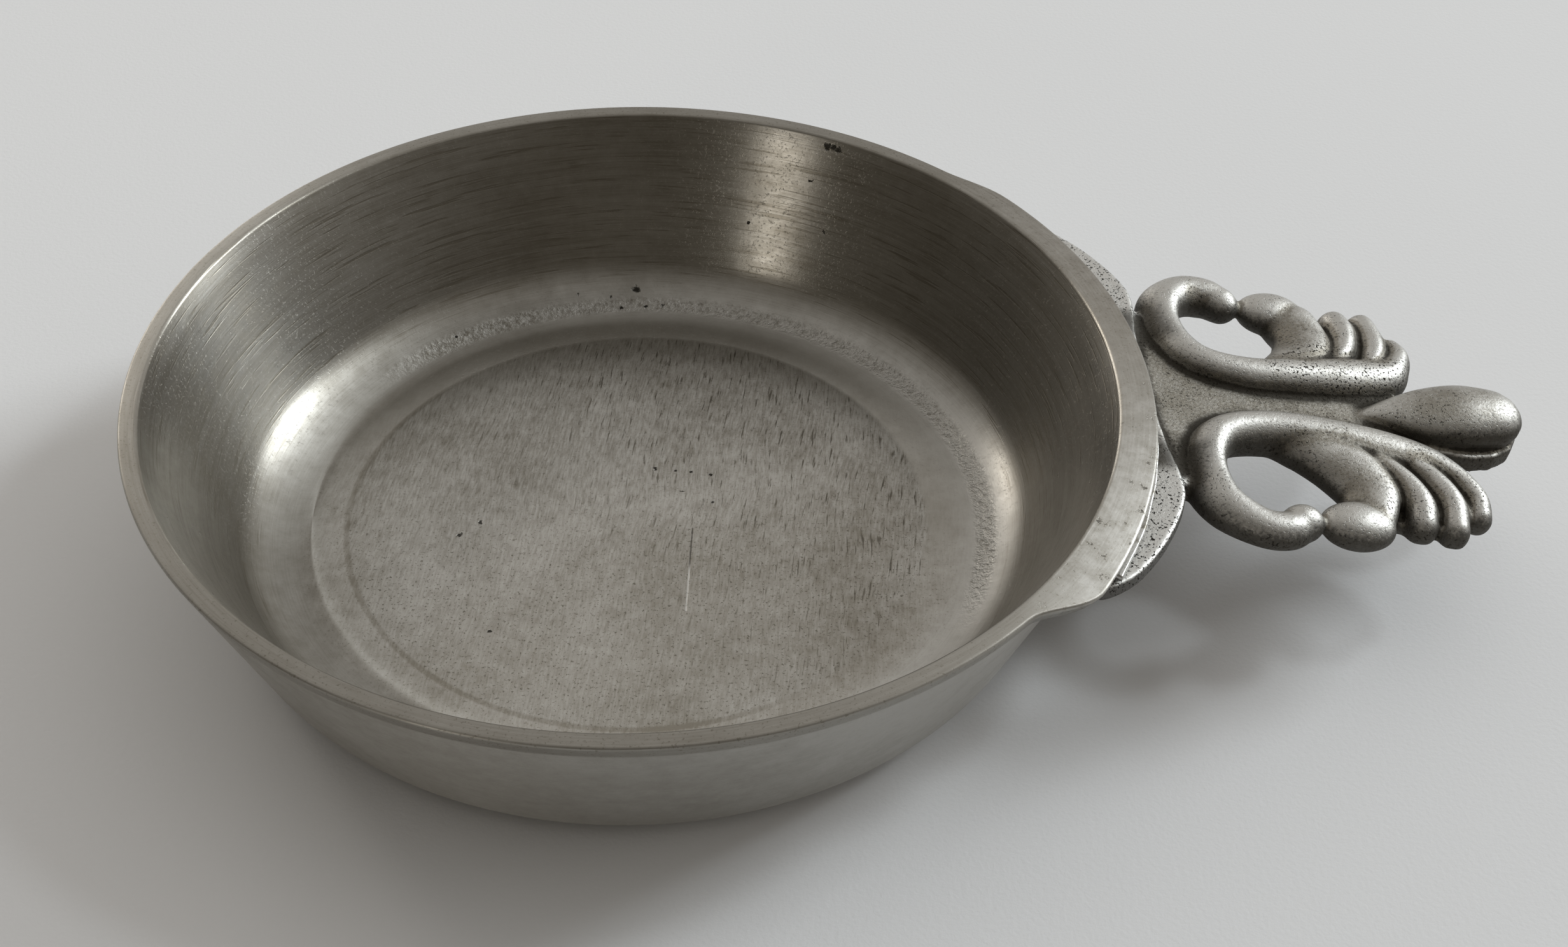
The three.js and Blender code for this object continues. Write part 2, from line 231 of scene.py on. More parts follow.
def length(name, description, default):
    """A size that a user may change."""
    return bpy.props.FloatProperty(
        name=name, description=description, default=default, precision=5, unit="LENGTH"
    )


def angle(name, description, default):
    """An angle that a user may change, given here in degrees."""
    return bpy.props.FloatProperty(
        name=name, description=description, default=radians(default), subtype="ANGLE"
    )


def colour(name, description, default):
    """A colour that a user may change."""
    return bpy.props.FloatVectorProperty(
        name=name, description=description, default=default, size=3, subtype="COLOR", min=0, max=1
    )


def count(name, description, default):
    """A number of steps that a user may change."""
    return bpy.props.IntProperty(name=name, description=description, default=default, min=1)


class BowlSettings(bpy.types.PropertyGroup):
    """Sizes of the turned bowl and its lip."""

    rim_radius: length("Rim radius", "From the bowl's axis to the rim's outer edge", 52.49 * MM)
    height: length("Height", "From the table to the rim", BOWL_TOP)
    rim_width: length("Rim width", "Width of the rim's top", 2.0 * MM)
    rim_round: length("Rim rounding", "Radius of the rim's outer edge", 0.31 * MM)
    rim_inner_round: length("Inner rim rounding", "Radius of the rim's inner edge", 0.5 * MM)
    floor: length("Floor", "Thickness of the floor", 2.2 * MM)
    outer_lean: angle("Outer lean", "How far the outside of the wall leans out", 21.5)
    inner_lean: angle("Inner lean", "How far the inside of the wall leans out", 24.5)
    outer_corner: length("Outer corner", "Radius between the base and the wall", 6.5 * MM)
    inner_corner: length("Inner corner", "Radius between the floor and the wall", 7 * MM)
    ring_radius: length("Ring radius", "Radius of the fine ring turned in the floor", 31.9 * MM)
    ring_width: length("Ring width", "Half the width of the ring's groove", 0.3 * MM)
    ring_depth: length("Ring depth", "Depth of the ring's groove", 0.03 * MM)
    lip_reach: length("Lip reach", "How far the lip stands out on the handle's axis", 1.75 * MM)
    lip_end_reach: length("Lip end reach", "How far the lip stands out at its ends", 2.3 * MM)
    lip_skew: length("Lip skew", "How much further it stands out on the near side", 1.2 * MM)
    lip_angle: angle("Lip angle", "From the handle's axis to the lip's ends", 37)
    lip_shoulder: angle("Lip shoulder", "Angle over which the lip runs back into the rim", 9)
    lip_thickness: length("Lip thickness", "Depth of the lip's edge", 1.7 * MM)
    lip_fall: length("Lip fall", "How far the lip's edge lies below the rim", 0.5 * MM)
    turn_steps: count("Turn steps", "Steps round the bowl", 384)


class HandleSettings(bpy.types.PropertyGroup):
    """Sizes of the cast handle."""

    droop: angle("Droop", "How far the handle hangs below level", 8.5)
    drop: length("Drop", "From the rim down to the handle's middle plane", 4.0 * MM)
    back: length("Back", "From the middle plane to the flat back", 1.9 * MM)
    ground: length("Ground", "Height of the sandy plate over the middle plane", 0.5 * MM)
    leaf_bed: length("Leaf bed", "Height of the grooves' floor over the middle plane", -0.4 * MM)
    bud_leaf: length("Bud leaf", "Height of the leaf under the bud over the middle plane", 0.3 * MM)
    bracket_top: length("Bracket top", "Height of the bracket's ledge", 19.6 * MM)
    bracket_thickness: length("Bracket thickness", "Depth of the bracket at the wall", 3.4 * MM)
    bracket_edge: length("Bracket edge", "Depth of the bracket's outer edge", 1.7 * MM)
    bracket_angle: angle("Bracket angle", "From the handle's axis to the bracket's ends", 34.5)
    seam: length("Seam", "Gap to the bowl's wall", 0.3 * MM)
    grain: length("Grain", "Size of the skin's faces", 0.25 * MM)
    smoothing: count("Smoothing", "Rounds of smoothing, which wear down the edges", 6)


class SolderSettings(bpy.types.PropertyGroup):
    """Sizes of the solder between the lip and the handle."""

    top: length("Top", "Height of the solder's top", 20.5 * MM)
    thickness: length("Thickness", "Depth of the solder", 0.6 * MM)
    bead: length("Bead", "How far the solder stands out past the lip", 0.1 * MM)
    half_angle: angle("Half angle", "From the handle's axis to the solder's ends", 33)
    ragged: length("Raggedness", "How unevenly the solder ran", 0.16 * MM)


class FinishSettings(bpy.types.PropertyGroup):
    """Colours of the metal."""

    pewter: colour("Pewter", "Clean turned pewter", (0.44, 0.425, 0.395))
    patina: colour("Patina", "Dull skin on old pewter", (0.21, 0.192, 0.160))
    bright: colour("Worn pewter", "Pewter worn bright by handling", (0.58, 0.57, 0.545))
    # Old grime, and also painted shade where it darkens the handle's hollows, steep sides and the feet
    # of its scrolls.
    dirt_and_shade: colour("Dirt", "Old polish and dirt in the hollows", (0.030, 0.026, 0.020))
    solder: colour("Solder", "Bright solder", (0.46, 0.45, 0.43))


class StageSettings(bpy.types.PropertyGroup):
    """Paper, light and camera."""

    paper: colour("Paper", "Sheet that the taster stands on", (0.76, 0.76, 0.765))
    room_dark: colour("Dark of the room", "Surroundings away from the window", (0.130, 0.117, 0.097))
    room_light: colour("Light of the room", "Surroundings about the window", (0.675, 0.66, 0.635))
    camera_place: bpy.props.FloatVectorProperty(
        name="Camera place",
        description="Where the camera stands",
        default=(0.004231, -0.172721, 0.158578),
        subtype="TRANSLATION",
        unit="LENGTH",
        precision=6,
    )
    camera_turn: bpy.props.FloatVectorProperty(
        name="Camera turn",
        description="Which way the camera looks",
        default=(radians(48.93994), radians(-1.33515), radians(-2.71533)),
        subtype="EULER",
        precision=6,
    )
    lens: bpy.props.FloatProperty(
        name="Lens", description="Focal length of the camera", default=48.2143, unit="CAMERA"
    )


class Finish:
    """Builds one material out of nodes. Places are in millimetres."""

    def __init__(self, name):
        self.material = bpy.data.materials.new(name)
        self.material.use_nodes = True
        self.tree = self.material.node_tree
        self.shader = self.tree.nodes["Principled BSDF"]
        place = self.node("ShaderNodeTexCoord").outputs["Object"]
        self.place = self.vector("SCALE", place, scale=1 / MM)

    def node(self, kind, **settings):
        made = self.tree.nodes.new(kind)
        for name, value in settings.items():
            setattr(made, name, value)
        return made

    def feed(self, socket, value):
        """Links a node's output to the socket, or sets a number, place or colour on it."""
        if isinstance(value, bpy.types.NodeSocket):
            self.tree.links.new(value, socket)
        elif hasattr(value, "__len__") and len(value) == 3 and socket.type == "RGBA":
            socket.default_value = (*value, 1)
        else:
            socket.default_value = value

    def set(self, name, value):
        self.feed(self.shader.inputs[name], value)

    def math(self, operation, a, b=0.0, clamp=False):
        made = self.node("ShaderNodeMath", operation=operation, use_clamp=clamp)
        self.feed(made.inputs[0], a)
        self.feed(made.inputs[1], b)
        return made.outputs[0]

    def vector(self, operation, a, b=(0, 0, 0), scale=1.0):
        made = self.node("ShaderNodeVectorMath", operation=operation)
        self.feed(made.inputs[0], a)
        self.feed(made.inputs[1], b)
        self.feed(made.inputs[3], scale)
        gives_number = operation in ("LENGTH", "DISTANCE", "DOT_PRODUCT")
        return made.outputs["Value" if gives_number else "Vector"]

    def split(self, place):
        made = self.node("ShaderNodeSeparateXYZ")
        self.feed(made.inputs[0], place)
        return made.outputs

    def join(self, x, y, z):
        made = self.node("ShaderNodeCombineXYZ")
        for socket, value in zip(made.inputs, (x, y, z)):
            self.feed(socket, value)
        return made.outputs[0]

    def noise(self, place, scale, detail=2.0, roughness=0.5):
        """Noise from 0 to 1."""
        made = self.node("ShaderNodeTexNoise")
        self.feed(made.inputs["Vector"], place)
        made.inputs["Scale"].default_value = scale
        made.inputs["Detail"].default_value = detail
        made.inputs["Roughness"].default_value = roughness
        return made.outputs["Fac"]

    def ripple(self, place, scale, detail=2.0, roughness=0.5):
        """Noise about zero."""
        return self.math("SUBTRACT", self.noise(place, scale, detail, roughness), 0.5)

    def step(self, value, low, high, start=0.0, end=1.0):
        """Runs smoothly from start to end as value goes from low to high."""
        made = self.node("ShaderNodeMapRange", interpolation_type="SMOOTHSTEP")
        for socket, given in zip(made.inputs, (value, low, high, start, end)):
            self.feed(socket, given)
        return made.outputs["Result"]

    def mix(self, factor, a, b):
        """A number between a, at factor 0, and b, at 1."""
        made = self.node("ShaderNodeMix", data_type="FLOAT", clamp_factor=True)
        self.feed(made.inputs[0], factor)
        self.feed(made.inputs[2], a)
        self.feed(made.inputs[3], b)
        return made.outputs[0]

    def blend(self, factor, a, b):
        """A colour between a, at factor 0, and b, at 1."""
        made = self.node("ShaderNodeMix", data_type="RGBA", clamp_factor=True)
        self.feed(made.inputs[0], factor)
        self.feed(made.inputs[6], a)
        self.feed(made.inputs[7], b)
        return made.outputs[2]

    def bump(self, height, depth):
        """Raises the surface by height times depth, in millimetres."""
        made = self.node("ShaderNodeBump")
        made.inputs["Distance"].default_value = depth * MM
        self.feed(made.inputs["Height"], height)
        self.set("Normal", made.outputs["Normal"])

    def times(self, a, b):
        return self.math("MULTIPLY", a, b)

    def most(self, a, b):
        return self.math("MAXIMUM", a, b)

    def add(self, *parts):
        """The sum of the parts, where a pair is a value and its weight."""
        parts = [self.times(*part) if isinstance(part, tuple) else part for part in parts]
        total = parts[0]
        for part in parts[1:]:
            total = self.math("ADD", total, part)
        return total


def turned_pewter(colours, bowl):
    """Old turned pewter: turning lines on the walls, scouring marks and pits on the floor. The first
    two numbers of a zone's step are where it starts and where it is full, in millimetres."""
    f = Finish("turned_pewter")
    x, y, z = f.split(f.place)
    radius = f.most(f.vector("LENGTH", f.join(x, y, 0)), 0.01)
    east = f.math("DIVIDE", x, radius)
    north = f.math("DIVIDE", y, radius)

    def towards(a, b):
        """How far a place lies to one side of the bowl."""
        return f.add((x, a), (y, b))

    # Where on the bowl
    top = bowl.height / MM
    middle = (bowl.rim_radius - bowl.rim_width / 2) / MM
    lean = tan((bowl.outer_lean + bowl.inner_lean) / 2)
    wall_middle = f.add((z, lean), middle - lean * top)
    from_wall = f.math("SUBTRACT", wall_middle, radius)
    inside = f.times(f.step(from_wall, -0.1, 0.1), f.step(z, 1.0, 1.2))
    wall = f.times(inside, f.step(radius, 39.0, 43.5))
    ground = f.times(inside, f.step(radius, 38.5, 33.0))
    rim = f.times(f.step(z, top - 1.9, top - 1.5), f.step(radius, middle - 1.0, middle - 0.7))
    lip = f.times(rim, f.step(x, 36.0, 42.0))
    # The near end of the lip is lighter: partly real scraping with its pits, and partly a painted
    # highlight.
    scraped_and_sheen = f.times(lip, f.step(y, 8.0, -22.0, 0.35, 1.0))
    corner_line = f.times(f.step(radius, 36.8, 37.8), f.step(radius, 40.0, 38.8))
    crumbled = f.times(corner_line, f.times(inside, f.step(towards(0.55, 0.83), 0.0, 15.0)))

    # The scoured middle of the floor, the line of its ring, and the smooth band behind that
    ring = bowl.ring_radius / MM
    from_ring = f.math("ABSOLUTE", f.math("SUBTRACT", radius, ring))
    scoured = f.step(radius, ring + 0.3, ring - 0.5)
    groove = f.times(f.step(from_ring, 0.5, 0.15), f.step(towards(0.8, 0.6), 4.0, -14.0))
    smooth = f.times(f.step(radius, ring - 0.5, ring + 0.3), f.step(towards(0.3, 1.0), -8.0, 14.0))

    # Marks of the lathe, of scouring and of age
    along = f.add((radius, 0.9), (z, 1.3))
    slant = f.add(x, (y, -0.14), (f.noise(f.place, 0.07, 1.0), 1.6))

    def ring_marks(across, around, detail):
        """Marks that run round the bowl."""
        place = f.join(f.times(along, across), f.times(east, around), f.times(north, around))
        return f.ripple(place, 1.0, detail, 0.6)

    def scour_marks(across, lengthwise, layer):
        """Marks that run from front to back over the floor."""
        place = f.join(f.times(slant, across), f.times(y, lengthwise), layer)
        return f.ripple(place, 1.0, 3.0, 0.6)

    lathe = ring_marks(6.0, 7.0, 3.0)
    bands = ring_marks(0.8, 1.2, 2.0)
    grooves = f.step(ring_marks(1.9, 5.0, 2.0), 0.06, 0.2)
    file_marks = ring_marks(0.9, 34.0, 3.0)
    hairs = scour_marks(4.6, 0.6, 3.7)
    nicks = f.step(scour_marks(3.2, 0.27, 9.1), 0.08, 0.2)
    nicks = f.times(nicks, f.step(towards(0.6, 0.5), -12.0, 16.0, 0.15, 1.0))
    clouds = f.ripple(f.place, 0.06, 4.0, 0.6)
    mottle = f.ripple(f.place, 0.55, 5.0, 0.7)
    crumbs = f.times(crumbled, f.ripple(f.place, 1.5, 3.0, 0.65))
    specks = f.step(f.noise(f.place, 3.2, 3.0, 0.65), 0.57, 0.68)

    # Pits, those of the scraped lip among them
    ragged = f.times(f.ripple(f.place, 2.4), 0.9)
    hole = f.times(f.times(scraped_and_sheen, f.step(mottle, 0.1, 0.22)), 0.75)
    for centre, size in PITS:
        away = f.add(f.vector("DISTANCE", f.place, centre), ragged)
        hole = f.most(f.step(away, size, 0.4 * size), hole)

    # The long scratch
    start, end = (Vector(place) for place in SCRATCH)
    line = end - start
    from_start = f.vector("SUBTRACT", f.place, start)
    run = f.vector("DOT_PRODUCT", from_start, line)
    share = f.math("DIVIDE", run, line.length_squared, clamp=True)
    nearest = f.join(*[f.times(share, part) for part in line])
    away = f.add(f.vector("DISTANCE", from_start, nearest), (ragged, 0.15))
    scratch = f.step(away, 0.13, 0.04)

    def by_zone(side, floor, walls, edge):
        """Takes what belongs to the zone that a place lies in."""
        return f.mix(rim, f.mix(wall, f.mix(ground, side, floor), walls), edge)

    # How dull each zone is, from clean pewter at 0 to patina at 1
    wall_dull = f.add(0.70, (lathe, 0.7), (bands, 0.5), (grooves, 0.45), (clouds, 0.9), (mottle, 0.6))
    hair_weight = f.mix(scoured, f.mix(smooth, 0.9, 0.2), f.step(y, -20.0, 15.0, 1.0, 1.8))
    speck_weight = f.mix(smooth, f.step(y, 8.0, -14.0, 0.35, 0.8), 0.0)
    # The front of the floor is painted darker, as painted shade for its dimmer reflection.
    floor_dull = f.add(
        0.36, (hairs, hair_weight), (clouds, 1.3), (mottle, f.mix(smooth, 1.0, 0.3)), (smooth, 0.2),
        (f.times(nicks, scoured), 0.8), f.step(y, 5.0, -30.0, 0.0, 0.2), (groove, 0.35),
        (specks, speck_weight),
    )
    # Painted shade and light: the outside and the inner corner are darker on the left, away from the
    # window, and lighter on the right, where the outside reflects the lit paper. On the corner this
    # also dims the window's highlight.
    outer_painted_shade = f.step(x, -36.0, 36.0, 0.34, 0.02)
    corner_painted_shade = f.step(x, -36.0, 36.0, 0.46, -0.02)
    side_dull = f.add(
        f.mix(inside, outer_painted_shade, corner_painted_shade), (clouds, 1.0), (mottle, 0.6), (lathe, 0.5),
        (crumbs, 3.0),
    )
    rim_dull = f.add(
        f.mix(scraped_and_sheen, 0.62, 0.36), (f.times(mottle, scraped_and_sheen), 2.2), (lathe, 0.6), (file_marks, 0.2),
        (specks, 0.35), (clouds, 0.5),
    )
    dull = by_zone(side_dull, floor_dull, wall_dull, rim_dull)
    metal = f.blend(dull, colours.pewter, colours.patina)
    scored = f.blend(f.step(share, 0.4, 0.55), colours.dirt_and_shade, colours.bright)
    metal = f.blend(f.times(scratch, 0.7), metal, scored)
    grime = f.add((nicks, 0.5), (specks, f.step(y, 8.0, -14.0, 0.1, 0.4)))
    metal = f.blend(f.times(f.times(ground, scoured), grime), metal, colours.dirt_and_shade)
    f.set("Base Color", f.blend(f.times(hole, 0.9), metal, colours.dirt_and_shade))
    f.set("Metallic", 1.0)

    side_rough = f.step(x, -12.0, 24.0, 0.58, 0.42)
    rough = by_zone(side_rough, f.mix(smooth, 0.38, 0.32), 0.30, 0.42)
    f.set("Roughness", f.add(rough, (mottle, 0.12), (clouds, 0.12), (specks, 0.1), (hole, 0.3)))
    f.set("Anisotropic", 0.7)
    f.set("Tangent", f.join(f.mix(ground, east, 1.0), f.mix(ground, north, 0.0), 0.0))
    f.bump(f.add(
        (f.mix(ground, lathe, hairs), 0.16), (mottle, 0.3), (specks, -0.12), (f.times(rim, lathe), 0.2),
        (hole, -3.0), (scratch, -0.6), (crumbs, 9.0), (f.times(wall, grooves), -0.25),
        (f.times(scoured, nicks), -0.3),
    ), 0.03)
    return f.material


def cast_pewter(colours):
    """Cast pewter: sandy, darkened in the hollows and on the steep sides by grime and painted shade,
    worn bright and pitted on the ridges.
    """
    f = Finish("cast_pewter")
    x, y, _ = f.split(f.place)
    hollow = f.node("ShaderNodeAttribute", attribute_name="hollow").outputs["Fac"]
    up = f.split(f.node("ShaderNodeNewGeometry").outputs["Normal"])[2]
    sand = f.ripple(f.place, 2.6, 4.0, 0.7)
    blotch = f.ripple(f.place, 0.28, 3.0, 0.6)
    pepper = f.noise(f.place, 3.6, 2.0, 0.6)
    shade = f.add(hollow, (blotch, 0.4), (sand, 0.35))
    # Steep sides are darkened: partly grime that polishing misses, and partly painted shade on sides
    # turned from the light.
    steep_grime_and_shade = f.step(f.add(up, (sand, 1.4)), 0.9, 0.25)

    # The bracket's ledge is scraped bright. Along the feet of the scrolls beside it lie grime and
    # painted shade, which stands in for the dark lip and bowl reflected there.
    radius = f.vector("LENGTH", f.join(x, y, 0.0))
    aside = f.math("ABSOLUTE", y)
    ledge = f.times(f.step(radius, 58.4, 57.6), f.step(aside, 12.0, 14.5))
    foot_grime_and_shade = f.times(f.step(f.add(radius, (sand, 3.0)), 61.0, 58.8), f.step(aside, 7.5, 10.0))
    foot_grime_and_shade = f.times(f.math("SUBTRACT", foot_grime_and_shade, ledge, clamp=True), 0.8)
    # Grime and painted shade together: the hollows, the steep sides and the feet of the scrolls go
    # dark.
    dark = f.most(f.step(shade, 0.1, 0.7), f.most(f.times(steep_grime_and_shade, 0.8), foot_grime_and_shade))
    worn = f.times(f.step(shade, -0.15, -0.7), f.step(up, 0.2, 0.8))
    bud_dull = f.step(f.vector("DISTANCE", f.place, DULL_BUD), 10.0, 6.0, 0.0, 0.4)
    dull = f.add(0.46, (sand, 1.6), (blotch, 0.9), f.step(shade, -0.5, -0.1, 0.0, 0.4), bud_dull)

    # Pits lie in patches, and thickest along the crest of the far ear.
    stretch = Vector((0.6, 1.6, 1.0))
    stretched = f.vector("MULTIPLY", f.place, stretch)
    crest = f.vector("DISTANCE", stretched, stretch * Vector(PITTED_CREST))
    patch = f.add(f.step(blotch, -0.05, 0.15, 0.35, 0.9), f.step(crest, 8.0, 5.0), ledge)
    pits = f.times(f.step(pepper, 0.565, 0.65), patch)

    metal = f.blend(dull, colours.pewter, colours.patina)
    metal = f.blend(f.most(f.times(worn, 0.5), f.times(ledge, 0.8)), metal, colours.bright)
    metal = f.blend(f.times(dark, 0.93), metal, colours.dirt_and_shade)
    f.set("Base Color", f.blend(f.times(pits, 0.85), metal, colours.dirt_and_shade))
    f.set("Metallic", 1.0)
    f.set("Roughness", f.add(f.mix(worn, 0.52, 0.42), (dark, 0.15), (pits, 0.2)))
    f.bump(f.add((sand, f.mix(worn, 1.2, 0.6)), (pits, -0.8)), 0.06)
    return f.material


def bright_solder(colours):
    """Soft solder, run and scraped."""
    f = Finish("bright_solder")
    lumps = f.noise(f.place, 0.7, 3.0, 0.6)
    grit = f.noise(f.place, 4.5, 2.0, 0.6)
    metal = f.blend(f.step(lumps, 0.45, 0.7), colours.solder, colours.patina)
    f.set("Base Color", f.blend(f.step(grit, 0.6, 0.72), metal, colours.dirt_and_shade))
    f.set("Metallic", 1.0)
    f.set("Roughness", f.mix(lumps, 0.28, 0.5))
    f.bump(f.add(lumps, (grit, 0.1)), 0.08)
    return f.material


def pale_paper(stage):
    """Plain drawing paper, a little darker in its tooth."""
    f = Finish("pale_paper")
    tooth = f.noise(f.place, 1.8, 3.0, 0.6)
    f.set("Base Color", f.blend(tooth, stage.paper, stage.paper * 0.985))
    f.set("Roughness", 0.9)
    f.set("Specular IOR Level", 0.1)
    f.bump(tooth, 0.03)
    return f.material


def ease(value, low, high):
    """Runs smoothly from 0 to 1 as value goes from low to high."""
    share = min(max((value - low) / (high - low), 0), 1)
    return share * share * (3 - 2 * share)


def smooth_line(points, steps):
    """Points on a smooth line through the given ones."""
    line = []
    ends = [points[0] * 2 - points[1], *points, points[-1] * 2 - points[-2]]
    for before, a, b, after in zip(ends, ends[1:], ends[2:], ends[3:]):
        for k in range(steps):
            t = k / steps
            pull_a = (b - before) / 2
            pull_b = (after - a) / 2
            line.append(
                a * (2 * t**3 - 3 * t**2 + 1)
                + pull_a * (t**3 - 2 * t**2 + t)
                + b * (3 * t**2 - 2 * t**3)
                + pull_b * (t**3 - t**2)
            )
    return [*line, points[-1]]


def chain(bm, points, closed=False):
    """A line of edges through points."""
    verts = [bm.verts.new(p) for p in points]
    for a, b in zip(verts, verts[1:]):
        bm.edges.new((a, b))
    if closed:
        bm.edges.new((verts[-1], verts[0]))
    return verts


def round_off(bm, vert, radius, turn, steps):
    """Rounds one corner of a line that turns by the given angle there."""
    bmesh.ops.bevel(
        bm, geom=[vert], offset=radius * tan(turn / 2), offset_type="OFFSET", affect="VERTICES",
        segments=steps, profile=0.5, material=-1,
    )


def only(kind, geometry):
    """The vertices or the edges among what an operator made."""
    return [part for part in geometry if isinstance(part, kind)]


def turn_full(bm, steps):
    """Turns everything in the mesh once round the bowl's axis."""
    bmesh.ops.spin(
        bm, geom=bm.verts[:] + bm.edges[:], cent=ORIGIN, axis=UP, dvec=ORIGIN,
        angle=2 * pi, steps=steps, use_merge=True,
    )


def turn_crescent(bm, half_angle, steps):
    """Turns a closed line to both sides of the handle's axis, and closes the ends."""
    to_start = Matrix.Rotation(-half_angle, 3, "Z")
    bmesh.ops.rotate(bm, cent=ORIGIN, matrix=to_start, verts=bm.verts[:])
    first = bm.edges[:]
    bmesh.ops.contextual_create(bm, geom=first)
    spun = bmesh.ops.spin(
        bm, geom=first, cent=ORIGIN, axis=UP, dvec=ORIGIN, angle=2 * half_angle, steps=steps,
    )
    bmesh.ops.contextual_create(bm, geom=only(BMEdge, spun["geom_last"]))


def make_sound(bm):
    """Closes seams and poles and points the faces outwards."""
    bmesh.ops.remove_doubles(bm, verts=bm.verts[:], dist=MERGE)
    bmesh.ops.recalc_face_normals(bm, faces=bm.faces[:])


def placed(name, bm, material, node):
    """A finished piece that stands for a CAD node and rides on the object's only body."""
    mesh = bpy.data.meshes.new(name)
    bm.to_mesh(mesh)
    bm.free()
    mesh.shade_smooth()
    mesh.materials.append(material)
    piece = bpy.data.objects.new(name, mesh)
    bpy.context.scene.collection.objects.link(piece)
    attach(piece, "root")
    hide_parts(node)
    return piece


def lip_radius(bowl, turn):
    """The lip's outer edge at an angle from the handle's axis: an arc through its middle and its ends,
    skewed to the near side, that runs back into the rim beyond its ends."""
    rim = bowl.rim_radius
    mid = rim + bowl.lip_reach
    end = rim + bowl.lip_end_reach
    end_x, end_y = end * cos(bowl.lip_angle), end * sin(bowl.lip_angle)
    radius = ((mid - end_x) ** 2 + end_y**2) / (2 * (mid - end_x))
    centre = mid - radius
    edge = centre * cos(turn) + sqrt(max(radius**2 - (centre * sin(turn)) ** 2, 0))
    edge -= bowl.lip_skew * sin(turn)
    past = ease(abs(turn) - bowl.lip_angle, 0, bowl.lip_shoulder)
    return rim + (edge - rim) * (1 - past)


def outer_wall(bowl, height):
    """Radius of the bowl's outside at a height."""
    return bowl.rim_radius - tan(bowl.outer_lean) * (bowl.height - height)


class TASTER_OT_make_bowl(bpy.types.Operator):
    """Turn the bowl and draw out its lip"""

    bl_idname = "taster.make_bowl"
    bl_label = "Make bowl"

    def execute(self, context):
        bowl = context.scene.taster_bowl
        rim, top, floor = bowl.rim_radius, bowl.height, bowl.floor
        inside = rim - bowl.rim_width
        floor_edge = inside - tan(bowl.inner_lean) * (top - floor)
        ring, groove = bowl.ring_radius, bowl.ring_width
        lip_edge, lip_under, lip_root = (top - bowl.lip_thickness + level for level in LIP_LEVELS)

        bm = bmesh.new()
        line = chain(bm, [(r, 0, z) for r, z in (
            (0, floor),
            (ring - groove, floor),
            (ring, floor - bowl.ring_depth),
            (ring + groove, floor),
            (floor_edge, floor),
            (inside, top),
            (rim, top),
            (outer_wall(bowl, lip_edge), lip_edge),
            (outer_wall(bowl, lip_under), lip_under),
            (outer_wall(bowl, lip_root), lip_root),
            (outer_wall(bowl, 0), 0),
            (0, 0),
        )])
        floor_corner, rim_inner, rim_outer, base_corner = (line[k] for k in (4, 5, 6, 10))
        inner_turn = pi / 2 - bowl.inner_lean
        round_off(bm, floor_corner, bowl.inner_corner, inner_turn, FLOOR_CORNER_STEPS)
        round_off(bm, rim_inner, bowl.rim_inner_round, inner_turn, RIM_INNER_STEPS)
        round_off(bm, rim_outer, bowl.rim_round, pi / 2 + bowl.outer_lean, RIM_OUTER_STEPS)
        round_off(bm, base_corner, bowl.outer_corner, pi / 2 - bowl.outer_lean, BASE_CORNER_STEPS)
        long_runs = [e for e in bm.edges if e.calc_length() > LONG_RUN]
        bmesh.ops.subdivide_edges(bm, edges=long_runs, cuts=RUN_CUTS)
        turn_full(bm, bowl.turn_steps)
        make_sound(bm)

        # The lip is drawn out of the rim.
        for v in bm.verts:
            r = hypot(v.co.x, v.co.y)
            if v.co.z < lip_under - TOUCH or r < rim - LIP_BAND:
                continue
            reach = lip_radius(bowl, atan2(v.co.y, v.co.x)) - rim
            fall = bowl.lip_fall * reach / bowl.lip_end_reach
            if v.co.z < lip_edge - TOUCH:
                reach = max(reach - LIP_UNDERCUT, 0)
            v.co.xy *= (r + reach) / r
            v.co.z -= min(fall, max(v.co.z - lip_under, 0))
        finish = turned_pewter(context.scene.taster_finish, bowl)
        placed("turned_bowl", bm, finish, "bowl")
        return {"FINISHED"}


def hand_worked(x, y, z=0.0):
    """A place on the handle, moved as the two ears differ from each other. Each difference grows over
    a few millimetres of the way out along the handle and away from its axis."""
    if y < 0:
        x += NEAR_REACH * ease(-y, 6, 14) * ease(x, 4, 10)
    else:
        y -= FAR_NARROW * ease(x, 30, 34) * ease(y, 9, 15)
        x -= FAR_SHORT * ease(x, 29, 35) * ease(y, 3, 7)
    return Vector((x, y, z))


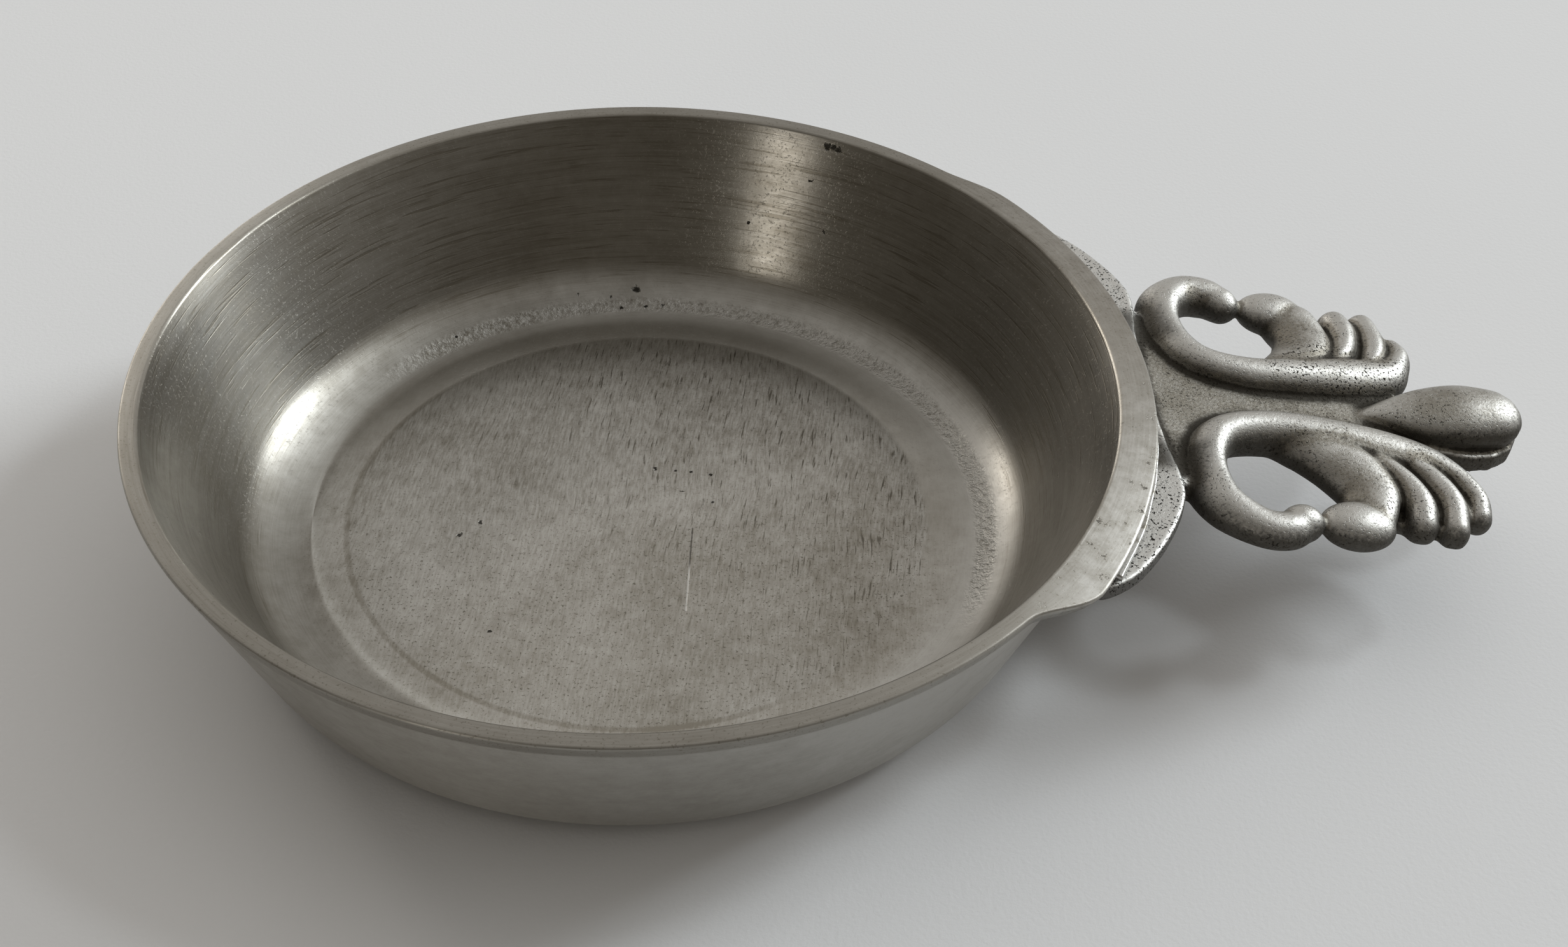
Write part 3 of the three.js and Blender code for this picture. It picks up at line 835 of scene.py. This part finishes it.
def swept_bar(bm, stations, side, upright, sides=24, steps=6, dome=4):
    """A bar with domed ends along a smooth line through its stations. It has a ridge and lower sides
    that stand upright, as it leaves a mould, fully at upright 1; at 0 it is round."""
    line = smooth_line([hand_worked(x, side * y, z) for x, y, z, *_ in stations], steps)
    girth = smooth_line([Vector((w, h, lean * w)) for *_, w, h, lean in stations], steps)
    sections = []
    for k, (place, size) in enumerate(zip(line, girth)):
        ahead = (line[min(k + 1, len(line) - 1)] - line[max(k - 1, 0)]).normalized()
        across = UP.cross(ahead).normalized()
        rise = ahead.cross(across)
        size = size * (1 + FAR_STOUT * ease(place.y, 13, 18))
        ridge = rise * size.y + across * side * size.z
        basis = Matrix((across * size.x, ridge, ahead * size.x)).transposed().to_4x4()
        sections.append(Matrix.Translation(place) @ basis)

    def domed(section, bulge):
        shrink = cos(bulge)
        shift = Matrix.Translation((0, 0, sin(bulge)))
        return section @ shift @ Matrix.Diagonal((shrink, shrink, 1, 1))

    bulges = [pi / 2 * k / dome for k in range(1, dome)] + [DOME_END]
    first_dome = [domed(sections[0], -bulge) for bulge in reversed(bulges)]
    last_dome = [domed(sections[-1], bulge) for bulge in bulges]
    sections = first_dome + sections + last_dome
    ring = bmesh.ops.create_circle(bm, cap_ends=True, radius=1, segments=sides)["verts"]
    for v in ring:
        if v.co.y < 0:
            v.co.x = copysign(abs(v.co.x) ** (1 - SIDE_STRAIGHTENING * upright), v.co.x)
        elif upright:
            v.co.y **= RIDGE_SHARPENING
    bmesh.ops.transform(bm, matrix=sections[0], verts=ring)
    edges = list(dict.fromkeys(e for v in ring for e in v.link_edges))
    for now, after in zip(sections, sections[1:]):
        grown = bmesh.ops.extrude_edge_only(bm, edges=edges)["geom"]
        ring = only(BMVert, grown)
        edges = only(BMEdge, grown)
        bmesh.ops.transform(bm, matrix=after @ now.inverted(), verts=ring)
    bmesh.ops.contextual_create(bm, geom=edges)


def ball(bm, place, radii, side):
    """A rounded knob."""
    x, y, z = place
    where = Matrix.Translation(hand_worked(x, side * y, z)) @ Matrix.Diagonal((*radii, 1))
    bmesh.ops.create_icosphere(bm, subdivisions=4, radius=1, matrix=where)


def plate(bm, outline, low, high):
    """A flat plate of the outline, between two heights."""
    verts = [bm.verts.new(hand_worked(x, y, high)) for x, y in outline]
    face = bm.faces.new(verts)
    grown = bmesh.ops.extrude_face_region(bm, geom=[face])["geom"]
    bmesh.ops.translate(bm, verts=only(BMVert, grown), vec=(0, 0, low - high))


def bracket(bm, bowl, handle):
    """The level crescent that sits under the lip, made in millimetres."""
    high = handle.bracket_top
    low = high - handle.bracket_thickness
    corners = [
        (outer_wall(bowl, high) + handle.seam, high),
        (bowl.rim_radius, high),
        (bowl.rim_radius, high - handle.bracket_edge),
        (outer_wall(bowl, low) + handle.seam, low),
    ]
    part = bmesh.new()
    chain(part, [(r / MM, 0, z / MM) for r, z in corners], closed=True)
    turn_crescent(part, handle.bracket_angle, BRACKET_STEPS)
    edge = smooth_line([Vector(p) for p in BRACKET_EDGE], steps=8)
    rim = bowl.rim_radius / MM
    for v in part.verts:
        r = hypot(v.co.x, v.co.y)
        if abs(r - rim) < TOUCH / MM:
            where = degrees(abs(atan2(v.co.y, v.co.x)))
            reach = np.interp(where, [p.x for p in edge], [p.y for p in edge])
            v.co.xy *= (r + reach) / r
    bmesh.ops.recalc_face_normals(part, faces=part.faces[:])
    mesh = bpy.data.meshes.new("bracket")
    part.to_mesh(mesh)
    part.free()
    bm.from_mesh(mesh)
    bpy.data.meshes.remove(mesh)


def one_skin(bm, grain):
    """Melts overlapping bodies into one skin with faces of the given size."""
    mesh = bpy.data.meshes.new("rough_casting")
    bm.to_mesh(mesh)
    bm.free()
    rough = bpy.data.objects.new("rough_casting", mesh)
    bpy.context.scene.collection.objects.link(rough)
    melt = rough.modifiers.new("melt", "REMESH")
    melt.mode = "VOXEL"
    melt.voxel_size = grain
    graph = bpy.context.evaluated_depsgraph_get()
    skin = bpy.data.meshes.new_from_object(rough.evaluated_get(graph))
    bpy.data.objects.remove(rough)
    bpy.data.meshes.remove(mesh)
    melted = bmesh.new()
    melted.from_mesh(skin)
    bpy.data.meshes.remove(skin)
    return melted


def mark_hollows(mesh, sizes):
    """Stores how deep each point lies in a hollow, up to 1, or on a ridge, down to -1. Each size is a
    number of rounds of smoothing, and the depth to the smooth skin that counts as full."""
    number = len(mesh.vertices)
    place = np.empty(number * 3)
    mesh.vertices.foreach_get("co", place)
    place = place.reshape(-1, 3)
    normal = np.empty(number * 3)
    mesh.vertices.foreach_get("normal", normal)
    normal = normal.reshape(-1, 3)
    pairs = np.empty(len(mesh.edges) * 2, int)
    mesh.edges.foreach_get("vertices", pairs)
    here = np.concatenate((pairs[0::2], pairs[1::2]))
    there = np.concatenate((pairs[1::2], pairs[0::2]))
    near = np.bincount(here, minlength=number)[:, None]
    soft = place
    done = 0
    depth = np.zeros(number)
    for rounds, full in sizes:
        for _ in range(rounds - done):
            soft = np.stack([np.bincount(here, soft[there, k], number) for k in range(3)], 1) / near
        done = rounds
        depth += ((soft - place) * normal).sum(1) / full
    stored = mesh.attributes.new("hollow", "FLOAT", "POINT")
    stored.data.foreach_set("value", np.clip(depth, -1, 1).astype(np.float32))


class TASTER_OT_make_handle(bpy.types.Operator):
    """Cast the openwork handle with its bracket"""

    bl_idname = "taster.make_handle"
    bl_label = "Make handle"

    def execute(self, context):
        bowl = context.scene.taster_bowl
        handle = context.scene.taster_handle
        back = -handle.back / MM
        plate_foot = back - PLATE_SPARE
        bm = bmesh.new()
        for side in (1, -1):
            for stations in (SCROLL, INNER_LEAF):
                swept_bar(bm, stations, side, SCROLL_UPRIGHT)
            for stations in (FIRST_LEAF, SECOND_LEAF):
                swept_bar(bm, stations, side, LEAF_UPRIGHT)
            ball(bm, *VOLUTE_BALL, side)
            ball(bm, *KNOB, side)
            plate(bm, [(x, side * y) for x, y in LEAF_BED], plate_foot, handle.leaf_bed / MM)
        swept_bar(bm, BUD, 1, BUD_UPRIGHT)
        for edge, top in ((GROUND_EDGE, handle.ground), (BUD_LEAF, handle.bud_leaf)):
            outline = [(x, -y) for x, y in edge] + [(x, y) for x, y in reversed(edge)]
            plate(bm, outline, plate_foot, top / MM)
        bmesh.ops.recalc_face_normals(bm, faces=bm.faces[:])

        # The back of the casting is flat.
        cut = bmesh.ops.bisect_plane(
            bm, geom=bm.verts[:] + bm.edges[:] + bm.faces[:], plane_co=(0, 0, back), plane_no=UP,
            clear_inner=True,
        )
        bmesh.ops.holes_fill(bm, edges=only(BMEdge, cut["geom_cut"]))
        root = (bowl.rim_radius / MM, 0, (bowl.height - handle.drop) / MM)
        droop = Matrix.Translation(root) @ Matrix.Rotation(handle.droop, 4, "Y")
        bmesh.ops.transform(bm, matrix=droop, verts=bm.verts[:])
        bracket(bm, bowl, handle)

        bm = one_skin(bm, handle.grain / MM)
        for _ in range(handle.smoothing):
            bmesh.ops.smooth_vert(
                bm, verts=bm.verts[:], factor=0.5, use_axis_x=True, use_axis_y=True, use_axis_z=True
            )
        bmesh.ops.scale(bm, vec=(MM, MM, MM), verts=bm.verts[:])
        finish = cast_pewter(context.scene.taster_finish)
        piece = placed("cast_handle", bm, finish, "handle")
        mark_hollows(piece.data, HOLLOWS)
        return {"FINISHED"}


class TASTER_OT_make_solder(bpy.types.Operator):
    """Run the solder between the lip and the handle"""

    bl_idname = "taster.make_solder"
    bl_label = "Make solder"

    def execute(self, context):
        bowl = context.scene.taster_bowl
        solder = context.scene.taster_solder
        high = solder.top
        low = high - solder.thickness
        wall = outer_wall(bowl, high) + context.scene.taster_handle.seam
        edge = bowl.rim_radius
        corners = [(wall, 0, high), (edge, 0, high), (edge, 0, low), (wall, 0, low)]
        bm = bmesh.new()
        line = chain(bm, corners, closed=True)
        for corner in line[1:3]:
            round_off(bm, corner, solder.thickness * SOLDER_ROUND, pi / 2, SOLDER_ROUND_STEPS)
        turn_crescent(bm, solder.half_angle, SOLDER_STEPS)
        for v in bm.verts:
            r = hypot(v.co.x, v.co.y)
            if r > wall + TOUCH:
                run = noise.noise(v.co / SOLDER_LUMP) * solder.ragged
                reach = lip_radius(bowl, atan2(v.co.y, v.co.x)) - edge + solder.bead + run
                v.co.xy *= (r + reach) / r
        make_sound(bm)
        finish = bright_solder(context.scene.taster_finish)
        placed("solder_bead", bm, finish, "solder_seam")
        return {"FINISHED"}


def lamp(name, place, size, power, tint):
    """A soft square light that looks at the taster."""
    data = bpy.data.lights.new(name, "AREA")
    data.size = size
    data.energy = power
    data.color = tint
    lit = bpy.data.objects.new(name, data)
    lit.location = place
    lit.rotation_euler = (-Vector(place)).to_track_quat("-Z", "Y").to_euler()
    bpy.context.scene.collection.objects.link(lit)


def room(stage):
    """Dim surroundings that grow light towards the window."""
    world = bpy.data.worlds.new("room")
    world.use_nodes = True
    tree = world.node_tree
    towards = tree.nodes.new("ShaderNodeVectorMath")
    towards.operation = "DOT_PRODUCT"
    tree.links.new(tree.nodes.new("ShaderNodeTexCoord").outputs["Generated"], towards.inputs[0])
    towards.inputs[1].default_value = LIGHT_SIDE
    level = tree.nodes.new("ShaderNodeMapRange")
    level.interpolation_type = "SMOOTHSTEP"
    tree.links.new(towards.outputs["Value"], level.inputs["Value"])
    for end, value in zip(("From Min", "From Max"), LIGHT_GROWS):
        level.inputs[end].default_value = value
    ramp = tree.nodes.new("ShaderNodeValToRGB")
    tree.links.new(level.outputs["Result"], ramp.inputs["Fac"])
    for stop, shade in zip(ramp.color_ramp.elements, (stage.room_dark, stage.room_light)):
        stop.color = (*shade, 1)
    tree.links.new(ramp.outputs["Color"], tree.nodes["Background"].inputs["Color"])
    return world


class TASTER_OT_make_stage(bpy.types.Operator):
    """Lay the paper and set the light and the camera"""

    bl_idname = "taster.make_stage"
    bl_label = "Make stage"

    def execute(self, context):
        scene = context.scene
        stage = scene.taster_stage
        bm = bmesh.new()
        bmesh.ops.create_grid(bm, x_segments=1, y_segments=1, size=PAPER_HALF)
        mesh = bpy.data.meshes.new("paper")
        bm.to_mesh(mesh)
        bm.free()
        mesh.materials.append(pale_paper(stage))
        paper = bpy.data.objects.new("paper", mesh)
        scene.collection.objects.link(paper)

        for name, place, size, power, tint in LAMPS:
            lamp(name, place, size, power, tint)
        scene.world = room(stage)
        scene.view_settings.view_transform = "Standard"

        data = bpy.data.cameras.new("camera")
        data.lens = stage.lens
        data.sensor_width = CAMERA_SENSOR
        data.clip_start = CAMERA_NEAREST
        camera = bpy.data.objects.new("camera", data)
        camera.location = stage.camera_place
        camera.rotation_euler = stage.camera_turn
        scene.collection.objects.link(camera)
        scene.camera = camera
        return {"FINISHED"}


class TASTER_PT_sidebar(bpy.types.Panel):
    """Sizes and colours of the taster, and what makes it"""

    bl_idname = "TASTER_PT_sidebar"
    bl_label = "Pewter wine taster"
    bl_space_type = "VIEW_3D"
    bl_region_type = "UI"
    bl_category = "Taster"

    def draw(self, context):
        for kind, label, store in SETTINGS:
            box = self.layout.box()
            box.label(text=label)
            for name in kind.__annotations__:
                box.prop(getattr(context.scene, store), name)
        for operator in OPERATORS:
            self.layout.operator(operator.bl_idname)


SETTINGS = (
    (BowlSettings, "Bowl", "taster_bowl"),
    (HandleSettings, "Handle", "taster_handle"),
    (SolderSettings, "Solder", "taster_solder"),
    (FinishSettings, "Finish", "taster_finish"),
    (StageSettings, "Stage", "taster_stage"),
)
OPERATORS = (TASTER_OT_make_bowl, TASTER_OT_make_handle, TASTER_OT_make_solder, TASTER_OT_make_stage)


def register():
    for kind, _, store in SETTINGS:
        bpy.utils.register_class(kind)
        setattr(bpy.types.Scene, store, bpy.props.PointerProperty(type=kind))
    for kind in (*OPERATORS, TASTER_PT_sidebar):
        bpy.utils.register_class(kind)


def unregister():
    for kind in (TASTER_PT_sidebar, *reversed(OPERATORS)):
        bpy.utils.unregister_class(kind)
    for kind, _, store in reversed(SETTINGS):
        delattr(bpy.types.Scene, store)
        bpy.utils.unregister_class(kind)


def main():
    register()
    bpy.ops.taster.make_bowl()
    bpy.ops.taster.make_handle()
    bpy.ops.taster.make_solder()
    bpy.ops.taster.make_stage()


if __name__ == "__main__":
    main()
